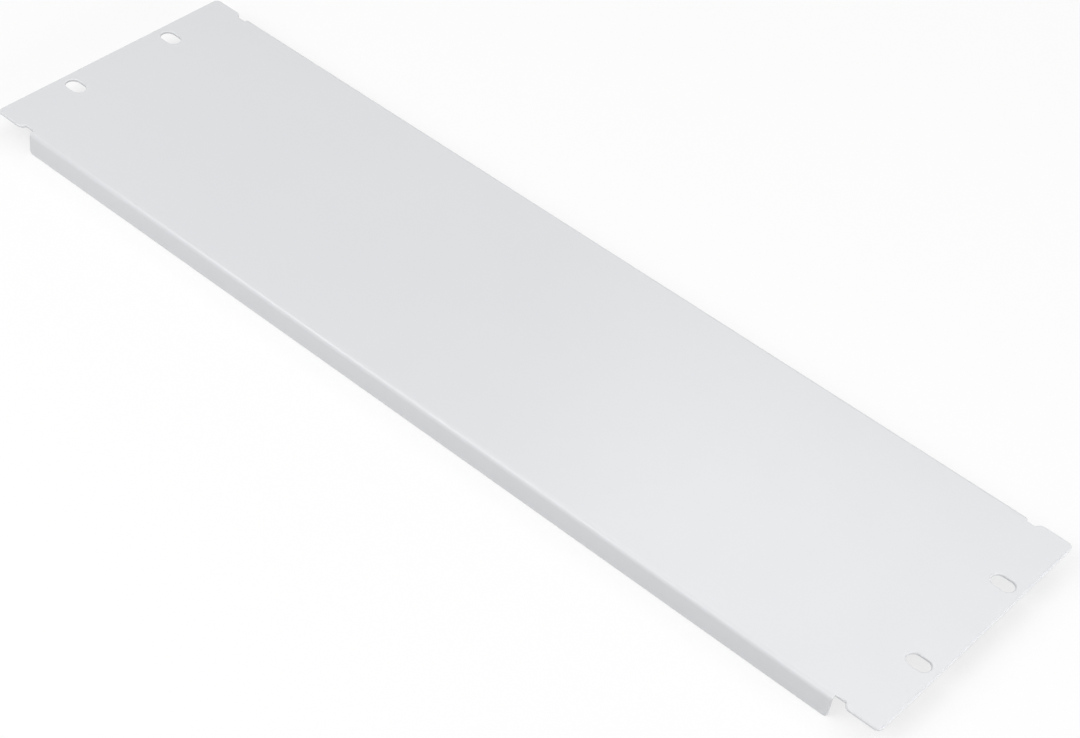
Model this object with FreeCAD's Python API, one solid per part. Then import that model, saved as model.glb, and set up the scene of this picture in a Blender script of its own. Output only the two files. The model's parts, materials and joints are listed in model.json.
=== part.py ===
import FreeCAD, Part
import math
import os
from FreeCAD import Vector

# Blanking panel for a 19-inch rack, three rack units high, folded from one sheet of steel.
# X runs along the panel, Y across it, and Z points out of the front face.
# The origin is the middle of the plane where the backs of the two ears touch the rack's rails.

# Driving sizes, in millimetres.
panel_width = 482.6           # over the ears, along X
panel_height = 132.5          # over the ears and over the flanges, along Y
sheet_thickness = 1.2
flange_depth = 11.5           # from the front face to the free edge of a flange
bend_inner_radius = 1.0
ear_width = 16.8              # from an ear's outer edge to its relief notches
ear_corner_radius = 2.5       # the panel's four outer corners
ear_shoulder_radius = 3.5     # the ear's corners beside the relief notches
relief_width = 4.5            # gap between the end of a flange and the ear
relief_past_bend = 0.25       # how far a relief notch reaches past the bend, into the flat front
flange_corner_radius = 2.0    # free corners of the flanges
slot_length = 10.3            # end to end, along X
slot_width = 6.8
slot_edge_distance = 8.75     # from an ear's outer edge to the middle of its slots
slot_row_spacing = 57.15      # between the two rows of slots, along Y
cutter_margin = 1.0           # how far a cutting tool stands clear of the sheet
same_place = 1e-6             # points closer than this count as one

# Places that follow from them.
half_width = panel_width / 2
half_height = panel_height / 2
bend_outer_radius = bend_inner_radius + sheet_thickness
bend_line = half_height - bend_outer_radius       # where the flat front runs into a bend
bend_end = sheet_thickness - bend_outer_radius    # where a bend runs into its flange
flange_foot = sheet_thickness - flange_depth      # height of the flanges' free edges
ear_inner_edge = half_width - ear_width
flange_end = ear_inner_edge - relief_width
relief_floor = bend_line - relief_past_bend


def line(start, end):
    return Part.LineSegment(start, end).toShape()


def bend_arc(side, radius, from_front):
    """Quarter circle of one bend, in the plane X = 0, drawn from the front or back towards it."""
    centre = Vector(0, side * bend_line, bend_end)
    points = []
    for angle in (0, 45, 90):
        turn = math.radians(angle)
        points.append(centre + Vector(0, side * radius * math.sin(turn), radius * math.cos(turn)))
    if not from_front:
        points.reverse()
    return Part.Arc(*points).toShape()


def fold_section():
    """The folded sheet's section: a flat front and a flange at each side, with round bends."""
    inner_half = half_height - sheet_thickness
    edges = [
        line(Vector(0, -bend_line, sheet_thickness), Vector(0, bend_line, sheet_thickness)),
        bend_arc(1, bend_outer_radius, True),
        line(Vector(0, half_height, bend_end), Vector(0, half_height, flange_foot)),
        line(Vector(0, half_height, flange_foot), Vector(0, inner_half, flange_foot)),
        line(Vector(0, inner_half, flange_foot), Vector(0, inner_half, bend_end)),
        bend_arc(1, bend_inner_radius, False),
        line(Vector(0, bend_line, 0), Vector(0, -bend_line, 0)),
        bend_arc(-1, bend_inner_radius, True),
        line(Vector(0, -inner_half, bend_end), Vector(0, -inner_half, flange_foot)),
        line(Vector(0, -inner_half, flange_foot), Vector(0, -half_height, flange_foot)),
        line(Vector(0, -half_height, flange_foot), Vector(0, -half_height, bend_end)),
        bend_arc(-1, bend_outer_radius, False),
    ]
    return Part.Face(Part.Wire(edges))


def folded_middle():
    """The section run between the relief notches, with the flanges' free corners rounded."""
    section = fold_section()
    section.translate(Vector(-flange_end, 0, 0))
    middle = section.extrude(Vector(2 * flange_end, 0, 0))
    corners = []
    for edge in middle.Edges:
        first, last = edge.Vertexes
        at_foot = max(abs(first.Z - flange_foot), abs(last.Z - flange_foot)) < same_place
        across_sheet = abs(first.X - last.X) < same_place
        if at_foot and across_sheet:
            corners.append(edge)
    return middle.makeFillet(flange_corner_radius, corners)


def upright_edges(plate, x):
    """The edges of a flat plate that stand square to it at the given X."""
    found = []
    for edge in plate.Edges:
        first, last = edge.Vertexes
        at_x = max(abs(first.X - x), abs(last.X - x)) < same_place
        upright = abs(first.Y - last.Y) < same_place
        if at_x and upright:
            found.append(edge)
    return found


def ear():
    """The right-hand ear: a flat plate with rounded outer corners and rounded shoulders."""
    corner = Vector(ear_inner_edge, -half_height, 0)
    plate = Part.makeBox(ear_width, panel_height, sheet_thickness, corner)
    plate = plate.makeFillet(ear_corner_radius, upright_edges(plate, half_width))
    return plate.makeFillet(ear_shoulder_radius, upright_edges(plate, ear_inner_edge))


def web():
    """The flat strip between the floors of the relief notches, which runs into both ears."""
    half_length = ear_inner_edge + ear_shoulder_radius
    corner = Vector(-half_length, -relief_floor, 0)
    return Part.makeBox(2 * half_length, 2 * relief_floor, sheet_thickness, corner)


def slot_cutter(x, y):
    """A bar with round ends, longer along X, that punches one mounting slot."""
    radius = slot_width / 2
    reach = (slot_length - slot_width) / 2
    floor = -cutter_margin
    height = sheet_thickness + 2 * cutter_margin
    bar = Part.makeBox(2 * reach, slot_width, height, Vector(x - reach, y - radius, floor))
    ends = [Part.makeCylinder(radius, height, Vector(x + s * reach, y, floor)) for s in (-1, 1)]
    return bar.fuse(ends)


def blanking_panel():
    right_ear = ear()
    left_ear = right_ear.mirror(Vector(0, 0, 0), Vector(1, 0, 0))
    sheet = folded_middle().fuse([web(), right_ear, left_ear]).removeSplitter()
    slot_x = half_width - slot_edge_distance
    slot_y = slot_row_spacing / 2
    cutters = [slot_cutter(sx * slot_x, sy * slot_y) for sx in (-1, 1) for sy in (-1, 1)]
    return sheet.cut(cutters).removeSplitter()


os.makedirs("parts", exist_ok=True)
panel = blanking_panel()
print("solids", len(panel.Solids), "valid", panel.isValid(), "volume", round(panel.Volume, 1))
panel.Solids[0].exportStep("parts/panel.step")
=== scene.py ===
import json
import math

import bmesh
import bpy
from mathutils import Matrix, Vector


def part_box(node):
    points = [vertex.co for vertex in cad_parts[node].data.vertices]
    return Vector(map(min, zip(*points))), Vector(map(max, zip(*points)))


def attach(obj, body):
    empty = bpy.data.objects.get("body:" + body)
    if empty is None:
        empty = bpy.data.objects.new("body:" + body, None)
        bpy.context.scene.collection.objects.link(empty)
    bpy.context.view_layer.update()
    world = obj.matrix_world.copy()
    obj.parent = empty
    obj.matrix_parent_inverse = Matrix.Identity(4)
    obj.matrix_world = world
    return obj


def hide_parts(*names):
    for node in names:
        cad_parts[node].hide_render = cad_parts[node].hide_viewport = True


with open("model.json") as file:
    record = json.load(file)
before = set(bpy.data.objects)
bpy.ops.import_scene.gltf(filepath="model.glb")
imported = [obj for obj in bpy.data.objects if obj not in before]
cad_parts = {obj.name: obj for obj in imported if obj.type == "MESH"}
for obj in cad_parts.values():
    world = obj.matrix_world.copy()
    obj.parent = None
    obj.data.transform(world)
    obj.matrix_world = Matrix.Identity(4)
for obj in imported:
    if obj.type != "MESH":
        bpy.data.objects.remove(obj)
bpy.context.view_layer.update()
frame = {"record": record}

# A blanking panel for a 19-inch rack, cut and folded from one steel sheet and powder coated.
# The sheet is modelled as a flat blank in millimetres, folded, and then brought to metres.

MM = 0.001
CLOSE = 1e-4                      # blank points nearer than this are one, in millimetres

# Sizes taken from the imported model.
low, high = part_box("panel")
half_width = high.x / MM
half_height = high.y / MM
sheet = high.z / MM               # thickness: the backs of the ears lie at height zero
foot = low.z / MM                 # height of the flanges' free edges
mounts = {mount["name"]: mount for mount in frame["record"]["mounts"]}
slots = mounts["rail_slots"]["dims"]
slot_x = slots["spacing_x_mm"] / 2
slot_y = slots["spacing_y_mm"] / 2
slot_radius = slots["hole_r_mm"]
slot_reach = slots["slot_length_mm"] / 2 - slot_radius

# The sheet's own sizes, in millimetres.
bend_radius = 1.0                 # inside a bend
ear_width = 16.8
ear_corner = 2.5
ear_shoulder = 3.5
relief_width = 4.5
relief_past_bend = 0.25
flange_corner = 2.0
front_rim = 0.55                  # rounding of the cut edges, larger on the front
back_rim = 0.2

# The powder coat: colours, then sizes of its patterns and heights of its bumps in metres.
COAT_THIN = (0.742, 0.752, 0.772, 1)
COAT_THICK = (0.754, 0.764, 0.782, 1)
COAT_FLECK = (0.762, 0.774, 0.790, 1)
coat_index = 1.5                  # refractive index of the binder
cloud_size = 0.09                 # patches where the coat is thinner or thicker
fleck_size = 0.0006
fleck_share = 0.35                # how far the strongest flecks go to their own colour
sheen_size = 0.025                # patches where the coat is a little duller
least_roughness, most_roughness = 0.22, 0.26
peel_size, peel_height = 0.0014, 9e-6
grain_size, grain_height = 0.0003, 1.2e-6
noise_low, noise_high = 0.3, 0.7  # most of a noise pattern lies between these

# The floor, in metres.
WHITE = (1, 1, 1, 1)
FLOOR_GREY = (0.7, 0.7, 0.7, 1)   # what the floor is to the light that falls on it
floor_reach = 4                   # from the middle to each side
floor_gap = 0.05 * MM             # keeps the floor clear of the flanges' free edges
shadow_share = 0.29               # how much of a shadow is seen near the panel
shadow_reach = 1.2                # no shadow is seen beyond this distance from the middle

# Lamps: name, place, width and height in metres, power in watts, seen in gloss or not.
# Only lamps that stand high are seen in gloss: a low one would burn the flat front out to white
# from the far side.
LAMPS = [
    ("overhead", (0.2, 0, 1.5), 2.0, 2.0, 12.8, True),
    ("key", (-0.51, -0.97, 1.03), 1.5, 0.6, 9.6, True),
    ("low_front", (-0.57, -1.22, 0.66), 1.6, 0.6, 4.0, False),
    ("right_side", (1.47, 0, 0.30), 1.2, 0.5, 12.3, False),
    ("high_back", (-0.22, 0.94, 1.15), 0.7, 0.42, 1.9, True),
    ("low_back", (0, 1.24, 0.84), 1.2, 1.2, 3.4, False),
]
sky_light = 0.05                  # what the sky adds to the light on the panel

# The camera: places in metres, roll in degrees, lens and sensor in millimetres.
camera_place = Vector((0.4670, -0.6178, 0.6816))
camera_aim = Vector((0.0328, -0.0135, 0.0012))
camera_roll = 8.18
camera_lens = 82.7
sensor_width = 36

# How finely round stretches are divided.
corner_steps = 10
slot_end_steps = 20
bend_steps = 14
front_rim_steps = 5
back_rim_steps = 3

ear_inner = half_width - ear_width
flange_end = ear_inner - relief_width
bend_line = half_height - bend_radius - sheet
relief_floor = bend_line - relief_past_bend
neutral_radius = bend_radius + sheet / 2
bend_run = neutral_radius * math.pi / 2         # flat length that one bend takes up
flange_run = -bend_radius - foot                # straight part of a flange


def line_to(bm, start, x, y):
    """Draws a straight edge from a vertex and returns the vertex at its far end."""
    end = bm.verts.new((x, y, 0))
    bm.edges.new((start, end))
    return end


def arc_to(bm, start, x, y, degrees, steps):
    """Swings a vertex about a centre, anticlockwise from above, and returns the last vertex."""
    made = bmesh.ops.spin(bm, geom=[start], cent=(x, y, 0), axis=(0, 0, 1),
                          angle=math.radians(degrees), steps=steps)
    return [item for item in made["geom_last"] if isinstance(item, bmesh.types.BMVert)][0]


def draw_quarter(bm):
    """A quarter of the flat outline, from the middle of a bend line to the middle of an ear."""
    start = bm.verts.new((0, bend_line, 0))
    corner = line_to(bm, start, flange_end, bend_line)
    corner = line_to(bm, corner, flange_end, relief_floor)
    centre_x, centre_y = ear_inner + ear_shoulder, half_height - ear_shoulder
    rise = math.asin((relief_floor - centre_y) / ear_shoulder)
    corner = line_to(bm, corner, centre_x - ear_shoulder * math.cos(rise), relief_floor)
    corner = arc_to(bm, corner, centre_x, centre_y, math.degrees(rise) - 90, corner_steps)
    corner = line_to(bm, corner, half_width - ear_corner, half_height)
    corner = arc_to(bm, corner, half_width - ear_corner, half_height - ear_corner, -90,
                    corner_steps)
    line_to(bm, corner, half_width, 0)


def draw_slot(bm):
    """The outline of one obround slot."""
    start = bm.verts.new((slot_x + slot_reach, slot_y - slot_radius, 0))
    top = arc_to(bm, start, slot_x + slot_reach, slot_y, 180, slot_end_steps)
    top = line_to(bm, top, slot_x - slot_reach, slot_y + slot_radius)
    end = arc_to(bm, top, slot_x - slot_reach, slot_y, 180, slot_end_steps)
    bm.edges.new((end, start))


def flat_front(bm):
    """Fills the mirrored outline round its four slots."""
    draw_quarter(bm)
    draw_slot(bm)
    for axis in "XY":
        bmesh.ops.mirror(bm, geom=bm.verts[:] + bm.edges[:], axis=axis, merge_dist=CLOSE)
    bmesh.ops.triangle_fill(bm, use_beauty=True, edges=bm.edges[:], normal=(0, 0, 1))


def drawn_out(bm, edges, distance):
    """Extrudes edges across the panel and returns the new outer edges."""
    made = bmesh.ops.extrude_edge_only(bm, edges=edges)["geom"]
    verts = [item for item in made if isinstance(item, bmesh.types.BMVert)]
    bmesh.ops.translate(bm, verts=verts, vec=(0, distance, 0))
    outer = [item for item in made if isinstance(item, bmesh.types.BMEdge)
             and item.verts[0] in verts and item.verts[1] in verts]
    return outer


def flat_flange(bm, side):
    """Adds one flange to the blank: a strip for the bend, then the flange with round corners."""
    edges = [edge for edge in bm.edges
             if all(abs(v.co.y - side * bend_line) < CLOSE and abs(v.co.x) < flange_end + CLOSE
                    for v in edge.verts)]
    for _ in range(bend_steps):
        edges = drawn_out(bm, edges, side * bend_run / bend_steps)
    edges = drawn_out(bm, edges, side * flange_run)
    corners = {v for edge in edges for v in edge.verts if abs(v.co.x) > flange_end - CLOSE}
    bmesh.ops.bevel(bm, geom=list(corners), offset=flange_corner, affect="VERTICES",
                    segments=corner_steps, profile=0.5, material=-1)


def raise_side(bm, faces, rim, steps):
    """Lifts one side of the sheet from its middle and rounds the rim of every cut edge."""
    lifts = [(0, sheet / 2 - rim)]
    for step in range(steps):
        before = math.pi / 2 * step / steps
        after = math.pi / 2 * (step + 1) / steps
        lifts.append((rim * (math.cos(before) - math.cos(after)),
                      rim * (math.sin(after) - math.sin(before))))
    for inset, lift in lifts:
        made = bmesh.ops.inset_region(bm, faces=faces, thickness=inset, depth=lift,
                                      use_boundary=True, use_even_offset=True)
        for face in made["faces"]:
            face.smooth = True


def thicken(bm):
    """Gives the blank its thickness: a front and a back, joined at the middle of the sheet."""
    front = bm.faces[:]
    bmesh.ops.recalc_face_normals(bm, faces=front)
    if front[0].normal.z < 0:
        bmesh.ops.reverse_faces(bm, faces=front)
    copied = bmesh.ops.duplicate(bm, geom=bm.verts[:] + bm.edges[:] + bm.faces[:])["geom"]
    back = [item for item in copied if isinstance(item, bmesh.types.BMFace)]
    bmesh.ops.reverse_faces(bm, faces=back)
    raise_side(bm, front, front_rim, front_rim_steps)
    raise_side(bm, back, back_rim, back_rim_steps)
    bmesh.ops.remove_doubles(bm, verts=bm.verts[:], dist=CLOSE)
    bmesh.ops.translate(bm, verts=bm.verts[:], vec=(0, 0, sheet / 2))
    bmesh.ops.recalc_face_normals(bm, faces=bm.faces[:])


def fold(bm):
    """Rolls both flanges back through a right angle about their bend lines."""
    for vert in bm.verts:
        run = abs(vert.co.y) - bend_line
        if run <= 0 or abs(vert.co.x) > flange_end + CLOSE:
            continue
        side = math.copysign(1, vert.co.y)
        turn = min(run / neutral_radius, math.pi / 2)
        straight = run - turn * neutral_radius
        radius = bend_radius + vert.co.z
        across = radius * math.sin(turn) + straight * math.cos(turn)
        vert.co.y = side * (bend_line + across)
        vert.co.z = radius * math.cos(turn) - straight * math.sin(turn) - bend_radius
    for face in bm.faces:
        middle = face.calc_center_median()
        at_bend = abs(middle.y) > bend_line and abs(middle.x) < flange_end
        if at_bend and min(vert.co.z for vert in face.verts) > -bend_radius - CLOSE:
            face.smooth = True


def make_panel(paint):
    bm = bmesh.new()
    flat_front(bm)
    for side in (-1, 1):
        flat_flange(bm, side)
    thicken(bm)
    fold(bm)
    bmesh.ops.scale(bm, vec=(MM, MM, MM), verts=bm.verts[:])
    mesh = bpy.data.meshes.new("folded_sheet")
    bm.to_mesh(mesh)
    bm.free()
    mesh.materials.append(paint)
    panel = bpy.data.objects.new("folded_sheet", mesh)
    bpy.context.collection.objects.link(panel)
    return panel


def node(tree, kind, **settings):
    """Adds a shader node; settings name its own properties."""
    made = tree.nodes.new(kind)
    for name, value in settings.items():
        setattr(made, name, value)
    return made


def grain(tree, place, size, detail):
    """A soft noise pattern whose grains are about size metres across."""
    pattern = node(tree, "ShaderNodeTexNoise")
    tree.links.new(place.outputs["Object"], pattern.inputs["Vector"])
    pattern.inputs["Scale"].default_value = 1 / size
    pattern.inputs["Detail"].default_value = detail
    return pattern.outputs["Fac"]


def spread(tree, pattern, least, most):
    """Stretches the middle of a noise pattern to run from one value to another."""
    ramp = node(tree, "ShaderNodeMapRange")
    ramp.inputs["From Min"].default_value = noise_low
    ramp.inputs["From Max"].default_value = noise_high
    ramp.inputs["To Min"].default_value = least
    ramp.inputs["To Max"].default_value = most
    tree.links.new(pattern, ramp.inputs["Value"])
    return ramp.outputs["Result"]


def raised(tree, pattern, height, under=None):
    """Bumps the surface by a pattern of the given height in metres, over another bump."""
    bump = node(tree, "ShaderNodeBump")
    bump.inputs["Strength"].default_value = 1
    bump.inputs["Distance"].default_value = height
    tree.links.new(pattern, bump.inputs["Height"])
    if under is not None:
        tree.links.new(under, bump.inputs["Normal"])
    return bump.outputs["Normal"]


def powder_coat():
    """Light grey semi-gloss powder coat: faint orange peel, fine grain and cloudy thickness."""
    paint = bpy.data.materials.new("light_grey_powder_coat")
    paint.use_nodes = True
    tree = paint.node_tree
    shader = tree.nodes["Principled BSDF"]
    shader.inputs["IOR"].default_value = coat_index
    place = node(tree, "ShaderNodeTexCoord")

    cloud = grain(tree, place, cloud_size, 3)
    speck = grain(tree, place, fleck_size, 1)
    clouded = node(tree, "ShaderNodeMix", data_type="RGBA")
    clouded.inputs["A"].default_value = COAT_THIN
    clouded.inputs["B"].default_value = COAT_THICK
    tree.links.new(spread(tree, cloud, 0, 1), clouded.inputs["Factor"])
    flecked = node(tree, "ShaderNodeMix", data_type="RGBA")
    flecked.inputs["B"].default_value = COAT_FLECK
    tree.links.new(clouded.outputs["Result"], flecked.inputs["A"])
    tree.links.new(spread(tree, speck, 0, fleck_share), flecked.inputs["Factor"])
    tree.links.new(flecked.outputs["Result"], shader.inputs["Base Color"])

    sheen = grain(tree, place, sheen_size, 4)
    tree.links.new(spread(tree, sheen, least_roughness, most_roughness),
                   shader.inputs["Roughness"])

    peel = raised(tree, grain(tree, place, peel_size, 1), peel_height)
    skin = raised(tree, grain(tree, place, grain_size, 2), grain_height, under=peel)
    tree.links.new(skin, shader.inputs["Normal"])
    return paint


def seen_straight_or_in_gloss(tree):
    """One for rays from the camera and for reflections, nothing for the light on the object."""
    path = node(tree, "ShaderNodeLightPath")
    either = node(tree, "ShaderNodeMath", operation="MAXIMUM")
    tree.links.new(path.outputs["Is Camera Ray"], either.inputs[0])
    tree.links.new(path.outputs["Is Glossy Ray"], either.inputs[1])
    any_of_three = node(tree, "ShaderNodeMath", operation="MAXIMUM")
    tree.links.new(either.outputs["Value"], any_of_three.inputs[0])
    tree.links.new(path.outputs["Is Transmission Ray"], any_of_three.inputs[1])
    return any_of_three.outputs["Value"]


def mixed(tree, share, first, second):
    """Mixes two shaders; the socket share says how much of the second is in the mix."""
    mix = node(tree, "ShaderNodeMixShader")
    tree.links.new(share, mix.inputs["Fac"])
    tree.links.new(first, mix.inputs[1])
    tree.links.new(second, mix.inputs[2])
    return mix.outputs["Shader"]


def pale_floor():
    """Matt and pale to the light; where it is seen it is white, with soft pale shadows."""
    white = bpy.data.materials.new("pale_floor")
    white.use_nodes = True
    tree = white.node_tree
    tree.nodes.clear()
    matt = node(tree, "ShaderNodeBsdfDiffuse")
    matt.inputs["Color"].default_value = FLOOR_GREY
    glow = node(tree, "ShaderNodeEmission")
    glow.inputs["Color"].default_value = WHITE
    glow.inputs["Strength"].default_value = 1
    shaded = node(tree, "ShaderNodeBsdfDiffuse")
    shaded.inputs["Color"].default_value = WHITE
    place = node(tree, "ShaderNodeTexCoord")
    away = node(tree, "ShaderNodeVectorMath", operation="LENGTH")
    tree.links.new(place.outputs["Object"], away.inputs[0])
    share = node(tree, "ShaderNodeMapRange")
    share.inputs["From Min"].default_value = shadow_reach / 2
    share.inputs["From Max"].default_value = shadow_reach
    share.inputs["To Min"].default_value = shadow_share
    share.inputs["To Max"].default_value = 0
    tree.links.new(away.outputs["Value"], share.inputs["Value"])
    seen = mixed(tree, share.outputs["Result"], glow.outputs["Emission"], shaded.outputs["BSDF"])
    surface = mixed(tree, seen_straight_or_in_gloss(tree), matt.outputs["BSDF"], seen)
    end = node(tree, "ShaderNodeOutputMaterial")
    tree.links.new(surface, end.inputs["Surface"])
    return white


def make_floor():
    mesh = bpy.data.meshes.new("floor")
    bm = bmesh.new()
    bmesh.ops.create_grid(bm, x_segments=1, y_segments=1, size=floor_reach)
    bmesh.ops.translate(bm, verts=bm.verts[:], vec=(0, 0, low.z - floor_gap))
    bm.to_mesh(mesh)
    bm.free()
    mesh.materials.append(pale_floor())
    floor = bpy.data.objects.new("floor", mesh)
    bpy.context.collection.objects.link(floor)


def make_sky(strength):
    """Soft white light from all round; the camera and reflections see plain white."""
    sky = bpy.data.worlds.new("soft_sky")
    sky.use_nodes = True
    tree = sky.node_tree
    tree.nodes.clear()
    light = node(tree, "ShaderNodeBackground")
    light.inputs["Color"].default_value = WHITE
    light.inputs["Strength"].default_value = strength
    white = node(tree, "ShaderNodeBackground")
    white.inputs["Color"].default_value = WHITE
    white.inputs["Strength"].default_value = 1
    surface = mixed(tree, seen_straight_or_in_gloss(tree), light.outputs["Background"],
                    white.outputs["Background"])
    end = node(tree, "ShaderNodeOutputWorld")
    tree.links.new(surface, end.inputs["Surface"])
    bpy.context.scene.world = sky


def make_lamp(name, place, width, height, power, in_gloss):
    """A soft lamp that faces the panel; in_gloss says whether it shows in reflections."""
    lamp = bpy.data.lights.new(name, "AREA")
    lamp.shape = "RECTANGLE"
    lamp.size = width
    lamp.size_y = height
    lamp.energy = power
    holder = bpy.data.objects.new(name, lamp)
    holder.location = place
    holder.rotation_euler = (-Vector(place)).to_track_quat("-Z", "Y").to_euler()
    holder.visible_glossy = in_gloss
    bpy.context.collection.objects.link(holder)


def make_camera():
    data = bpy.data.cameras.new("camera")
    data.sensor_width = sensor_width
    data.lens = camera_lens
    camera = bpy.data.objects.new("camera", data)
    upright = (camera_aim - camera_place).to_track_quat("-Z", "Y").to_matrix()
    roll = Matrix.Rotation(math.radians(camera_roll), 3, "Z")
    camera.matrix_world = Matrix.Translation(camera_place) @ (upright @ roll).to_4x4()
    bpy.context.collection.objects.link(camera)
    bpy.context.scene.camera = camera


panel = make_panel(powder_coat())
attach(panel, "root")
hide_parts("panel")
make_floor()
make_camera()
for lamp in LAMPS:
    make_lamp(*lamp)
make_sky(sky_light)
bpy.context.scene.view_settings.view_transform = "Standard"
